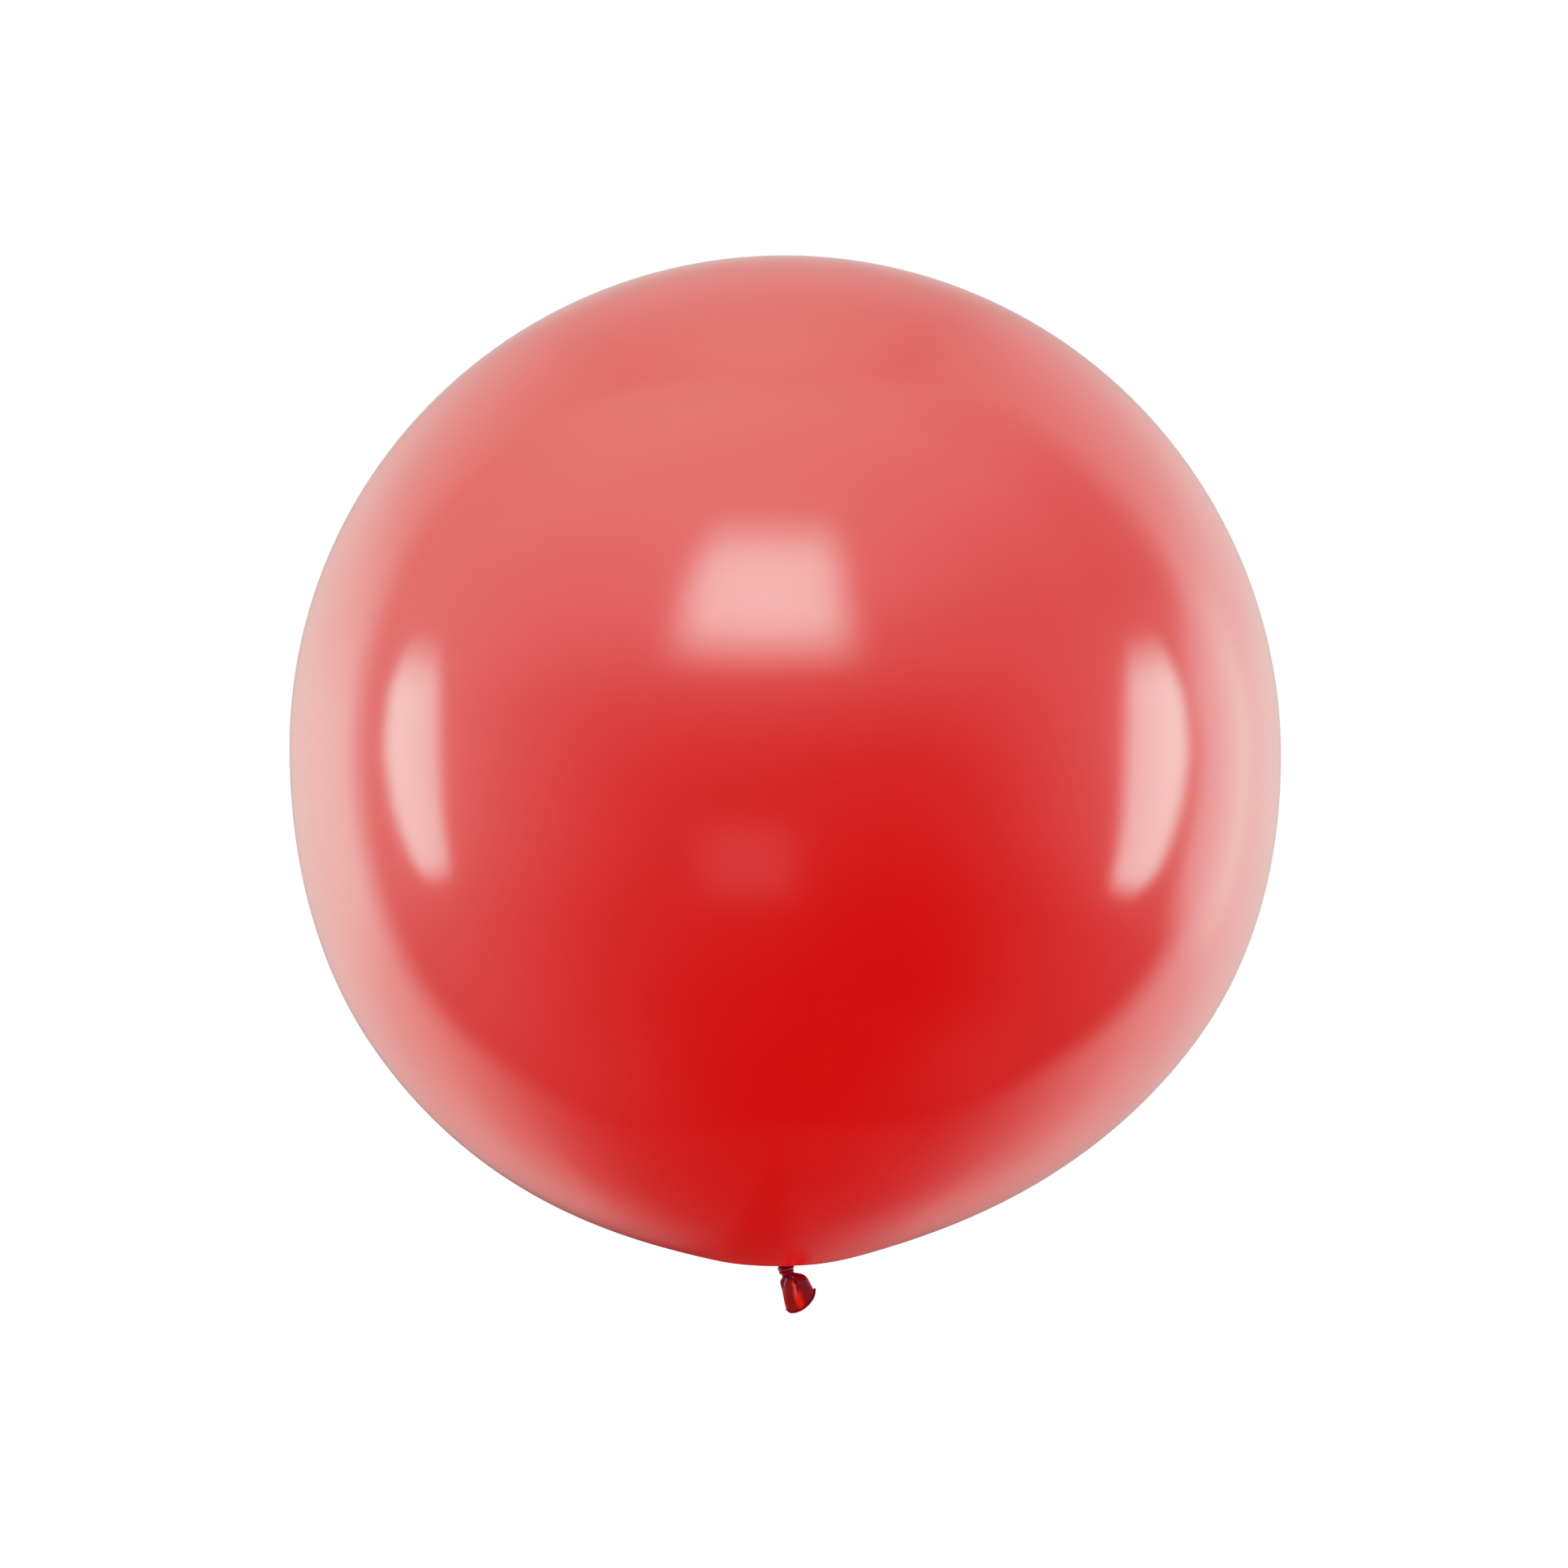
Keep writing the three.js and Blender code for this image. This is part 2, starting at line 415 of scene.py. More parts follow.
def latex_material(
    name, film, thick, mottle, mottle_scale, grain_scale, polish, bloom, relief, folds_of=None
):
    """A latex finish. folds_of holds the painted shade colour for folds and the painted light
    colour for crests, where the piece is pleated.
    """
    material = bpy.data.materials.new(name)
    material.use_nodes = True
    tree = material.node_tree
    shader = tree.nodes["Principled BSDF"]
    latex = tree.nodes.new("ShaderNodeGroup")
    latex.node_tree = dipped_latex_group()
    latex.inputs["Film Colour"].default_value = (*film, 1)
    latex.inputs["Thick And Painted Light Colour"].default_value = (*thick, 1)
    latex.inputs["Mottle"].default_value = mottle
    latex.inputs["Mottle Scale"].default_value = mottle_scale
    latex.inputs["Grain Scale"].default_value = grain_scale
    latex.inputs["Polish"].default_value = polish
    latex.inputs["Bloom"].default_value = bloom
    marked = tree.nodes.new("ShaderNodeAttribute")
    marked.attribute_name = "thick"
    tree.links.new(marked.outputs["Fac"], latex.inputs["Thickness"])
    colour = latex.outputs["Colour"]
    if folds_of:
        shade = tree.nodes.new("ShaderNodeGroup")
        shade.node_tree = fold_shade_group()
        tree.links.new(colour, shade.inputs["Colour"])
        shade.inputs["Fold Shade Colour"].default_value = (*folds_of[0], 1)
        shade.inputs["Crest Light Colour"].default_value = (*folds_of[1], 1)
        colour = shade.outputs["Colour"]
    tree.links.new(colour, shader.inputs["Base Color"])
    tree.links.new(latex.outputs["Roughness"], shader.inputs["Roughness"])
    bump = tree.nodes.new("ShaderNodeBump")
    bump.inputs["Distance"].default_value = relief
    bump.inputs["Strength"].default_value = 0.5
    tree.links.new(latex.outputs["Height"], bump.inputs["Height"])
    tree.links.new(bump.outputs["Normal"], shader.inputs["Normal"])
    shader.inputs["IOR"].default_value = 1.5
    return material


def film_finish(colours):
    """The blown-up skin: glossy and nearly even, painted a brighter red round the neck, which
    stands in for light that the grazing gloss takes away, and at the crown; duller where it is
    marked thick.
    """
    return bpy.data.materials.get("stretched latex") or latex_material(
        "stretched latex", colours.film, colours.film_painted_light_and_mottle,
        mottle=0.16, mottle_scale=7, grain_scale=700, polish=0.115, bloom=0.035, relief=0.05 * MM,
    )


def neck_finish(colours):
    """Unstretched latex: deep red, glossy, with painted shade in its folds and painted light along
    its crests.
    """
    name = "unstretched latex"
    if name in bpy.data.materials:
        return bpy.data.materials[name]
    finish = latex_material(
        name, colours.neck, colours.neck_fold_shade_and_mottle,
        mottle=0.3, mottle_scale=90, grain_scale=2600, polish=0.12, bloom=0.08, relief=0.05 * MM,
        folds_of=(colours.neck_fold_shade_and_mottle, colours.neck_crest_painted_light),
    )
    finish.node_tree.nodes["Principled BSDF"].inputs["Specular IOR Level"].default_value = 0.14
    return finish


# ---- Envelope and gather ----


def reach(angle):
    """Distance from the ball's centre to the skin, at an angle up from straight down."""
    deeper = DEEPER * smooth_step(math.pi / 2 - angle, 0, DEEPER_OVER)
    return BALL_R * (1 + deeper + POINT * np.exp(-((angle / POINT_SPREAD) ** 2)))


def skin_rings(angles, columns, sizes):
    """Rings of the skin at these angles up from straight down, with the dimple and its puckers.

    Returns the rings, and each point's distance from the balloon's axis.
    """
    angle, turn = np.meshgrid(angles, np.arange(columns) / columns * math.tau, indexing="ij")
    wave = np.sin(math.pi * (angle / LEAN_TO) ** 1.2) * np.exp(-((angle / LEAN_SPREAD) ** 2))
    distance = reach(angle) - LEAN * BALL_R * wave * np.cos(turn)
    radius = distance * np.sin(angle)
    height = CENTRE_Z - distance * np.cos(angle)
    dimple = sizes.dimple_depth * bump_at(radius, 0, sizes.dimple_spread)
    swirl = 0.5 * bump_at(radius, 0, 2 * sizes.dimple_spread)
    reach_of_puckers = bump_at(radius, sizes.dimple_spread, 2 * sizes.dimple_spread)
    puckers = sizes.gather_depth * reach_of_puckers * folds(2 * (turn + swirl))
    wide = 0.6 * sizes.gather_depth * bump_at(radius, 0, 5 * sizes.dimple_spread)
    puckers += wide * folds(turn + swirl)
    sag = SAG * bump_at(radius, SAG_AT, SAG_SPREAD) * (height < CENTRE_Z)
    points = (radius * np.cos(turn), radius * np.sin(turn), height + dimple + puckers - sag)
    return np.stack(points, axis=-1), radius


def make_envelope(sizes, colours):
    lowest = math.asin(SHOULDER_R / CENTRE_Z)
    share = np.linspace(0, 1, sizes.skin_rows, endpoint=False) ** 1.6
    angles = lowest + (math.pi - lowest) * share
    rings, radius = skin_rings(angles, sizes.skin_columns, sizes)
    crown = (0, 0, CENTRE_Z + BALL_R)
    skin = ring_sheet("envelope_skin", rings, end_tip=crown)
    below = rings[..., 2] < CENTRE_Z
    # Painted light: a brighter red round the neck, which stands in for light that the grazing gloss
    # takes away
    brightened_near_neck = 0.9 * bump_at(radius, 0, BRIGHTENED_ROUND_NECK) * below
    near_crown = 0.5 * bump_at(radius, 0, THICK_AT_CROWN) * ~below
    mark(skin, "thick", brightened_near_neck + near_crown)
    skin.data.materials.append(film_finish(colours))
    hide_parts("envelope")
    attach(skin, "envelope")


def make_gather(sizes, colours):
    """The puckered latex between the envelope and the neck."""
    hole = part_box("neck_stem")[1][0] + 0.2 * MM
    radii = np.linspace(hole, SHOULDER_R, 60)
    rings, radius = skin_rings(np.arcsin(radii / CENTRE_Z), sizes.skin_columns, sizes)
    gather = ring_sheet("neck_gather", rings)
    near_hole = 0.1 * bump_at(radius, 0, THICK_AT_HOLE)
    # Painted light: the same brighter red round the neck as on the skin
    mark(gather, "thick", 0.9 * bump_at(radius, 0, BRIGHTENED_ROUND_NECK) + near_hole)
    gather.data.materials.append(film_finish(colours))
    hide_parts("neck_shoulder")
    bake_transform(gather)


# ---- Neck and knot ----


def strand(name, path, outward, radius, creases, sides=40):
    """A pleated strand along a path of points. outward is each one's direction off the knot.

    Returns the piece, with painted shade marked in its folds and painted light on its crests. The
    strand is drawn in to a point at each end.
    """
    along = np.gradient(path, axis=0)
    along /= np.linalg.norm(along, axis=1, keepdims=True)
    out = outward - (outward * along).sum(axis=1, keepdims=True) * along
    out /= np.linalg.norm(out, axis=1, keepdims=True)
    side = np.cross(along, out)
    share = np.linspace(0, 1, len(path))[:, None]
    turn = (np.arange(sides) / sides * math.tau)[None, :]
    fold = 0.62 * np.cos(3 * turn + 7 * share) + 0.38 * np.cos(5 * turn - 4 * share + 1.3)
    fold = fold * creases + 0.18 * np.cos(11 * turn + 3 * share) * creases
    width = np.broadcast_to(np.asarray(radius).reshape(-1, 1), share.shape) * (1 + 0.09 * fold)
    rings = (
        path[:, None, :]
        + (width * np.cos(turn) * 0.94)[..., None] * out[:, None, :]
        + (width * np.sin(turn) * 1.04)[..., None] * side[:, None, :]
    )
    piece = ring_sheet(name, rings, start_tip=path[0], end_tip=path[-1])
    # Painted shade in the troughs and painted light on the crests, with the whole strand shaded a
    # little darker
    mark(piece, "fold", 0.9 * fold - 0.3)
    return piece


def make_neck(colours):
    """The neck pulled to a tight, pleated bundle, from the gather down into the knot."""
    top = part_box("neck_stem")[1][2] - 1.5 * MM
    into = box_middle("knot_core")
    rows = 48
    share = np.linspace(0, 1, rows)
    height = top + (into.z - top) * share
    lean = into.x * smooth_step(-height, 0, -into.z)
    path = np.stack([lean, np.zeros(rows), height], axis=1)
    radius = 3.45 * MM + 0.9 * MM * smooth_step(height, 1.5 * MM, top)
    radius = radius - 0.8 * MM * smooth_step(-height, 2 * MM, -into.z)
    outward = np.tile([1.0, 0.0, 0.0], (rows, 1))
    bundle = strand("neck_bundle", path, outward, radius, creases=1.1)
    bundle.data.materials.append(neck_finish(colours))
    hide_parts("neck_stem")
    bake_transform(bundle)


def knot_turn(name, centre, axis, ring, radius, start, sweep, climb, lumps):
    """One turn of the knot: a strand laid round the core, with both ends tucked in under it."""
    rows = 140
    share = np.linspace(0, 1, rows)
    turn = start + sweep * share
    across = Vector((0, 1, 0)).cross(axis).normalized()
    other = axis.cross(across)
    tucked = smooth_step(share, 0, 0.14) * smooth_step(1 - share, 0, 0.14)
    lumpy = np.sin(2 * turn + lumps) + 0.6 * np.sin(3 * turn + 2.3 * lumps)
    reach_out = ring * (0.32 + 0.68 * tucked) * (1 + 0.045 * lumpy)
    lift = climb * (share - 0.5) + 0.09 * ring * np.sin(2 * turn + lumps)
    out = np.cos(turn)[:, None] * np.array(across) + np.sin(turn)[:, None] * np.array(other)
    path = np.array(centre) + reach_out[:, None] * out + lift[:, None] * np.array(axis)
    thick = radius * (0.62 + 0.38 * tucked) * (1 + 0.1 * np.sin(3 * turn + lumps) + 0.05 * lumpy)
    return strand(name, path, out, thick, creases=0.9)


def make_knot(sizes, colours):
    """The overhand knot: an upper turn, a lower turn round the tail's root, and their core."""
    upper, lower = box_middle("knot_bight"), box_middle("knot_wrap")
    axis = (upper - lower).normalized()
    turns = (
        ("knot_upper_turn", "knot_bight", upper, 0.2, -2.4 * MM, 6.0 * MM, 1.1, 0.4),
        ("knot_lower_turn", "knot_wrap", lower, 3.1, 2.0 * MM, 5.2 * MM, 1.08, 2.0),
    )
    for name, node, centre, start, climb, ring, share, lumps in turns:
        turn = knot_turn(
            name, centre, axis, ring, sizes.turn_radius * share, start,
            math.tau * 1.12, climb, lumps,
        )
        turn.data.materials.append(neck_finish(colours))
        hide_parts(node)
        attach(turn, "knot")
    core = frame["nodes"]["knot_core"]
    core.data.materials.clear()
    core.data.materials.append(neck_finish(colours))


# ---- Tail ----
# In the tail's own frame u runs across the flattened sleeve, v through it, towards the back, and
# s down its length from the throat. All three are in millimetres there.

# Where the sleeve starts, its lean, the lip's reach, slant and bow, and half its widths and depths
TAIL_START = -2.3
TAIL_LEAN = math.radians(27)
LIP_REACH = 36.9
LIP_SLANT = 0.175
LIP_BOW = 0.0193
LIP_HALF_WIDTH = 17.0
LIP_SHIFT = 0.8
LIP_HALF_DEPTH = 4.7
ROOT_HALF_WIDTH = 3.6
SHOULDER_GROWTH = 9.6
ROOT_HALF_DEPTH = 3.3
BODY_HALF_DEPTH = 6.2
MOST_SHIFT = 2.4
SHIFT_AT = 9.5
LIP_INSET = 1.15

# Folds of the two walls: where each starts and ends down the sleeve, its place across at the
# throat, how far it drifts sideways for each millimetre down, its half-width and its height
# A fold that stands up also gets painted light along it, and one that sinks gets painted shade
FRONT_FOLDS = (
    (1.0, 34.0, 4.4, -0.29, 1.15, 2.3),
    (-1.0, 14.0, 3.9, 0.31, 0.8, 1.5),
    (-1.0, 9.5, -0.9, -0.9, 0.8, 1.4),
    (-1.5, 5.5, 1.3, -0.1, 0.45, 0.8),
    (0.0, 12.0, -4.6, -0.62, 2.0, -1.5),
    (1.0, 12.5, 5.2, -0.02, 1.2, -1.7),
    (-1.0, 5.0, 2.6, 0.0, 0.55, -0.9),
    (-1.0, 5.5, 0.2, -0.25, 0.5, -0.8),
    (1.0, 30.0, 9.4, 0.14, 3.0, -0.18),
    # A low crest whose painted light gives a bright red patch low on the front wall
    (15.0, 42.0, 5.2, -0.2, 2.5, 1.1),
)
BACK_FOLDS = (
    (0.0, 31.0, -2.6, 0.26, 1.2, 1.9),
    (-1.0, 13.0, -3.8, -0.45, 0.9, 1.3),
    (-1.0, 10.0, 2.4, 0.75, 0.8, 1.2),
    (1.0, 14.0, 0.9, 0.3, 1.4, -1.5),
    (0.0, 12.0, -6.8, -0.4, 1.8, -1.3),
    (14.0, 33.0, -8.0, 0.1, 3.2, 0.9),
)


def tail_to_frame(u, v, s):
    """Points in the tail's own frame, moved to the balloon's frame."""
    throat = joint_place("tail_sway")
    cos, sin = math.cos(TAIL_LEAN), math.sin(TAIL_LEAN)
    x = throat.x + MM * (u * cos + s * sin)
    y = throat.y + MM * v
    z = throat.z + MM * (u * sin - s * cos)
    return np.stack([x, y, z], axis=-1)


def lip_at(u):
    """How far down the lip lies, at a place across the sleeve. It turns up at both sides."""
    off_side = np.abs(u) / LIP_HALF_WIDTH
    turned_up = np.where(u < 0, 3.6 * off_side**16, 3.0 * off_side**10)
    return LIP_REACH - LIP_SLANT * u - LIP_BOW * u**2 - turned_up


def half_width(s):
    """Half the sleeve's width: narrow in the knot, wide at the shoulders, then nearly even."""
    opened = 1 - np.exp(-((np.maximum(0, s + 2.6) / 4.2) ** 1.15))
    return ROOT_HALF_WIDTH + SHOULDER_GROWTH * opened + 0.145 * np.maximum(0, s)


def half_depth(s):
    rising = ROOT_HALF_DEPTH + (BODY_HALF_DEPTH - ROOT_HALF_DEPTH) * smooth_step(s, -3, 6)
    return rising - (BODY_HALF_DEPTH - LIP_HALF_DEPTH) * smooth_step(s, 12, 31)


def middle_shift(s):
    """How far the sleeve's middle lies to +u, because the shoulder on that side stands out more."""
    share = np.maximum(0, s) / SHIFT_AT
    return MOST_SHIFT * (share * np.exp(1 - share)) ** 2


def flattened(turn, width, depth):
    """A flattened tube's section: pinched along its two side folds."""
    through = np.sin(turn) * np.abs(np.sin(turn)) ** 0.3
    return width * np.cos(turn), depth * through


def folded(u, s, wall_folds):
    """Height of a wall's folds, and a mark of painted light up a crest and painted shade down a
    trough.
    """
    relief, tone = np.zeros_like(u), np.zeros_like(u)
    for start, end, place, drift, width, height in wall_folds:
        rising = max(3.5, 0.3 * (end - start))
        ending = 1 - smooth_step(s, 0.45 * start + 0.55 * end, end)
        fades = smooth_step(s, start, start + rising) * ending
        off = (u - place - drift * s) / (width * (1 + 0.012 * np.maximum(0, s)))
        relief += height * fades / (1 + off**2)
        tone += math.copysign(min(1.0, abs(height) ** 0.5), height) * fades * np.exp(-(off**2))
    return relief, tone


def sleeve_sheet(around):
    """The sleeve's plain form: u, v and s for rows from the throat to the lip, and each turn."""
    rows = 120
    share = np.linspace(0, 1, rows) ** 1.25
    share, turn = np.meshgrid(share, np.arange(around) / around * math.tau, indexing="ij")
    s = TAIL_START + share * (LIP_REACH - TAIL_START)
    for _ in range(8):
        u, v = flattened(turn, half_width(s), half_depth(s))
        s = TAIL_START + share * (lip_at(u) - LIP_INSET - TAIL_START)
    return u, v, s, turn


def make_sleeve(sizes, colours):
    """The pleated, flattened sleeve, from its gathered root inside the knot to the rolled lip."""
    u, v, s, turn = sleeve_sheet(260)
    shift = middle_shift(s)
    front, front_tone = folded(u + shift, s, FRONT_FOLDS)
    back, back_tone = folded(u + shift, s, BACK_FOLDS)
    on_front, on_back = smooth_step(-v, 0.2, 2.2), smooth_step(v, 0.2, 2.2)
    relief = on_front * front + on_back * back
    gathered = sizes.pleat_depth / MM * np.exp(-np.maximum(0, s - 0.5) / 3.6)
    pleats = gathered * folds(turn)
    # Painted light along the two side folds, which stands in for light coming through the thin
    # edges
    side = np.exp(-((np.sin(turn) / 0.3) ** 2)) * smooth_step(s, -1, 4)
    # The fold mark: painted light on crests, pleats and side folds, painted shade in troughs
    tone = on_front * front_tone + on_back * back_tone + 0.85 * pleats + 1.3 * side
    # Painted shade round the throat, under the knot
    tone -= 0.35 * np.exp(-((np.maximum(0, s) / 3) ** 2))
    v = v + np.sign(v) * relief + pleats * np.sin(turn)
    u = u + shift + pleats * np.cos(turn)
    sleeve = ring_sheet("tail_sleeve_pleated", tail_to_frame(u, v, s)[:, ::-1])
    mark(sleeve, "fold", tone[:, ::-1])
    with_wall(sleeve, sizes.sleeve_wall)
    sleeve.data.materials.append(neck_finish(colours))
    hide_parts("tail_sleeve", "tail_throat")
    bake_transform(sleeve)


def make_lip(sizes, colours):
    """The rolled lip: a round bead along the sleeve's open end, with the marks of its turns."""
    rows, sides = 240, 20
    bead = sizes.bead_radius / MM
    turn = np.arange(rows) / rows * math.tau
    u, v = flattened(turn, LIP_HALF_WIDTH, LIP_HALF_DEPTH)
    shift = middle_shift(np.full(rows, LIP_REACH)) + LIP_SHIFT
    line = np.stack([u + shift, v, lip_at(u) - bead], axis=1)
    along = np.roll(line, -1, axis=0) - np.roll(line, 1, axis=0)
    along /= np.linalg.norm(along, axis=1, keepdims=True)
    out = [LIP_HALF_DEPTH * np.cos(turn), LIP_HALF_WIDTH * np.sin(turn), np.zeros(rows)]
    out = np.stack(out, axis=1)
    out -= (out * along).sum(axis=1, keepdims=True) * along
    out /= np.linalg.norm(out, axis=1, keepdims=True)
    down = np.cross(along, out)
    section = (np.arange(sides) / sides * math.tau)[None, :]
    wander = 1 + 0.05 * np.sin(5 * turn + 0.4) + 0.03 * np.sin(13 * turn)
    size = bead * wander[:, None] * (1 + 0.03 * np.cos(3 * section + 0.8))
    rings = (
        line[:, None, :]
        + (size * np.cos(section) + 0.3)[..., None] * out[:, None, :]
        + (size * np.sin(section))[..., None] * down[:, None, :]
    )
    rings = tail_to_frame(rings[..., 0], rings[..., 1], rings[..., 2])
    lip = ring_sheet("lip_roll", np.concatenate([rings, rings[:1]]))
    close_ring(lip, rows, sides)
    # Painted light on the bead's lower side and painted shade in the groove along its upper side
    lower_side = np.sin(section) * np.sign(down[:, 2:])
    mark(lip, "fold", 0.15 + 0.75 * lower_side - 0.9 * smooth_step(-lower_side, 0.3, 0.9))
    lip.data.materials.append(neck_finish(colours))
    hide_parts("lip_bead")
    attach(lip, "tail")


def close_ring(piece, rows, sides):
    """Joins a ring's last row of points, which repeats its first, back to the first."""
    mesh = piece.data
    first = rows * sides
    points = [tuple(vertex.co) for vertex in mesh.vertices][:first]
    faces = [[corner % first for corner in face.vertices] for face in mesh.polygons]
    mesh.clear_geometry()
    mesh.from_pydata(points, [], faces)
    mesh.shade_smooth()
    mesh.update()


# ---- Studio ----

# What the gloss sees of the room: levels by height, from -1, straight down, to 1, straight up
CEILING = (
    (-1, 0), (-0.75, 0.02), (-0.5, 0.13), (-0.3, 0.25), (-0.1, 0.4), (0, 0.62),
    (0.17, 1.15), (0.35, 2.2), (0.6, 3.4), (0.8, 3.85), (1, 3.9),
)
SIDE_WALLS = (
    (-1, 0), (-0.86, 0.34), (-0.68, 0.56), (-0.44, 0.9), (-0.19, 1.8), (0, 2.0),
    (0.22, 1.6), (0.45, 0.64), (0.62, 0.1), (0.7, 0), (1, 0),
)
LEFT_FRONT = ((-1, 0.1), (-0.7, 0.3), (-0.3, 0.38), (0.15, 0.38), (0.45, 0.78), (1, 0.9))
NEAR_BACKDROP = (
    (-1, 0), (-0.91, 0.07), (-0.83, 0.22), (-0.77, 0.4), (-0.707, 0.6), (-0.63, 0.8),
    (-0.55, 1), (1, 1),
)
FAR_BACKDROP = (
    (-1, 0), (-0.55, 0), (-0.39, 1.08), (-0.33, 1.98), (-0.2, 3.6), (0.08, 3.6),
    (0.22, 2.23), (0.34, 1.22), (0.42, 0.36), (0.5, 0), (1, 0),
)
ABOVE_BACKDROP = (
    (-1, 0), (-0.1, 0), (0, 0.12), (0.05, 0.6), (0.3, 0.74), (0.5, 0.84), (0.59, 0.99),
    (0.68, 1.18), (0.76, 1.37), (0.83, 1.61), (0.9, 1.98), (0.96, 2.57), (1, 3.15),
)

# The softboxes lie at one distance from the ball's middle, through rows of (elevation, from, to)
PANEL_DISTANCE = 2.3
PANEL_ROWS = 25
KEY_ROWS = ((13, -30.2, 21.2), (32, -27.2, 18.7), (51, -23.2, 19.2))
LEFT_STRIP_ROWS = (
    (-18.5, -84, -76), (-14, -89, -75), (-7, -93.5, -74), (0, -95.5, -73.5), (8, -95, -74.5),
    (15, -92, -77), (19.5, -88, -79),
)
RIGHT_STRIP_ROWS = (
    (-21.5, 74, 82), (-15, 73, 90.5), (-7, 72, 94.5), (0, 71.5, 97), (8, 73, 96.5),
    (15, 76, 93), (20, 79, 90),
)
FILL_ROWS = ((-30, -24, 8), (-8, -24, 8))
RIGHT_WALL_ROWS = ((-26, 90, 124), (0, 94, 124), (24, 90, 124))

FLOOR_HALF = 20.0


def panel_sheet(name, rows, across=16):
    """A sheet through rows of (elevation, from, to), in degrees.

    The two ends of a row are azimuths, measured from the camera's side towards +X.
    """
    heights, starts, ends = np.radians(np.array(rows).T)
    rise = np.linspace(heights[0], heights[-1], PANEL_ROWS)[:, None]
    share = np.linspace(0, 1, across)[None, :]
    start, end = np.interp(rise, heights, starts), np.interp(rise, heights, ends)
    turn = start + (end - start) * share
    x = PANEL_DISTANCE * np.sin(turn) * np.cos(rise)
    y = -PANEL_DISTANCE * np.cos(turn) * np.cos(rise)
    z = CENTRE_Z + PANEL_DISTANCE * np.sin(rise) + 0 * turn
    points = np.stack([x, y, z], axis=-1)
    faces = []
    for row in range(PANEL_ROWS - 1):
        for column in range(across - 1):
            low = row * across + column
            faces.append((low, low + 1, low + across + 1, low + across))
    mesh = bpy.data.meshes.new(name)
    mesh.from_pydata([tuple(point) for point in points.reshape(-1, 3)], [], faces)
    panel = bpy.data.objects.new(name, mesh)
    bpy.context.scene.collection.objects.link(panel)
    mark(panel, "across", np.broadcast_to(share, turn.shape))
    mark(panel, "up", np.broadcast_to(np.linspace(0, 1, PANEL_ROWS)[:, None], turn.shape))
    return panel


def add_softbox(name, rows, strength, soft, dome=0.0):
    """A softbox that shows only in the gloss. soft holds the shares that fade out at its sides, at
    its foot and at its top, and dome is how far it darkens from its middle to its sides."""
    softbox = panel_sheet(name, rows)
    material = bpy.data.materials.new(name)
    material.use_nodes = True
    tree = material.node_tree
    tree.nodes.clear()
    across = marked_value(tree, "across")
    up = marked_value(tree, "up")
    sides, foot, top = soft
    shown = faded(tree, from_end(tree, across), sides)
    shown = math_node(tree, "MULTIPLY", faded(tree, across, sides), shown)
    shown = math_node(tree, "MULTIPLY", shown, faded(tree, up, foot))
    shown = math_node(tree, "MULTIPLY", shown, faded(tree, from_end(tree, up), top))
    off_middle = math_node(tree, "ABSOLUTE", math_node(tree, "SUBTRACT", across, 0.5), 0.0)
    darker = math_node(tree, "MULTIPLY", math_node(tree, "POWER", off_middle, 2.0), 4 * dome)
    shown = math_node(tree, "MULTIPLY", shown, math_node(tree, "SUBTRACT", 1.0, darker))
    light = tree.nodes.new("ShaderNodeEmission")
    light.inputs["Color"].default_value = (1, 0.99, 0.95, 1)
    light.inputs["Strength"].default_value = strength
    clear = tree.nodes.new("ShaderNodeBsdfTransparent")
    mix = tree.nodes.new("ShaderNodeMixShader")
    result = tree.nodes.new("ShaderNodeOutputMaterial")
    tree.links.new(shown, mix.inputs[0])
    tree.links.new(clear.outputs[0], mix.inputs[1])
    tree.links.new(light.outputs[0], mix.inputs[2])
    tree.links.new(mix.outputs[0], result.inputs["Surface"])
    softbox.data.materials.append(material)
    softbox.visible_camera = False
    softbox.visible_diffuse = False
    softbox.visible_transmission = False
    softbox.visible_volume_scatter = False
    softbox.visible_shadow = False


def marked_value(tree, name):
    node = tree.nodes.new("ShaderNodeAttribute")
    node.attribute_name = name
    return node.outputs["Fac"]


def from_end(tree, value):
    return math_node(tree, "SUBTRACT", 1.0, value)


def faded(tree, value, share):
    """Rises smoothly from nothing to full over a share of the way in."""
    node = tree.nodes.new("ShaderNodeMapRange")
    node.interpolation_type = "SMOOTHSTEP"
    node.inputs["From Max"].default_value = share
    tree.links.new(value, node.inputs["Value"])
    return node.outputs["Result"]


def by_height(tree, place, stops):
    """A level through (height, level) stops. Heights go from -1, straight down, to 1."""
    peak = max(level for _, level in stops)
    node = tree.nodes.new("ShaderNodeValToRGB")
    tree.links.new(place, node.inputs[0])
    points = node.color_ramp.elements
    while len(points) < len(stops):
        points.new(1.0)
    for point, (height, level) in zip(points, stops):
        point.position = height / 2 + 0.5
        share = level / peak
        point.color = (share, share, share, 1)
    return math_node(tree, "MULTIPLY", node.outputs[0], peak)


def ranged(tree, value, start, end, first, last, smooth=False):
    """Takes a value's range from start to end to a range from first to last, and holds it there."""
    node = tree.nodes.new("ShaderNodeMapRange")
    if smooth:
        node.interpolation_type = "SMOOTHSTEP"
    ends = {"From Min": start, "From Max": end, "To Min": first, "To Max": last}
    for name, number in ends.items():
        node.inputs[name].default_value = number
    tree.links.new(value, node.inputs["Value"])
    return node.outputs["Result"]


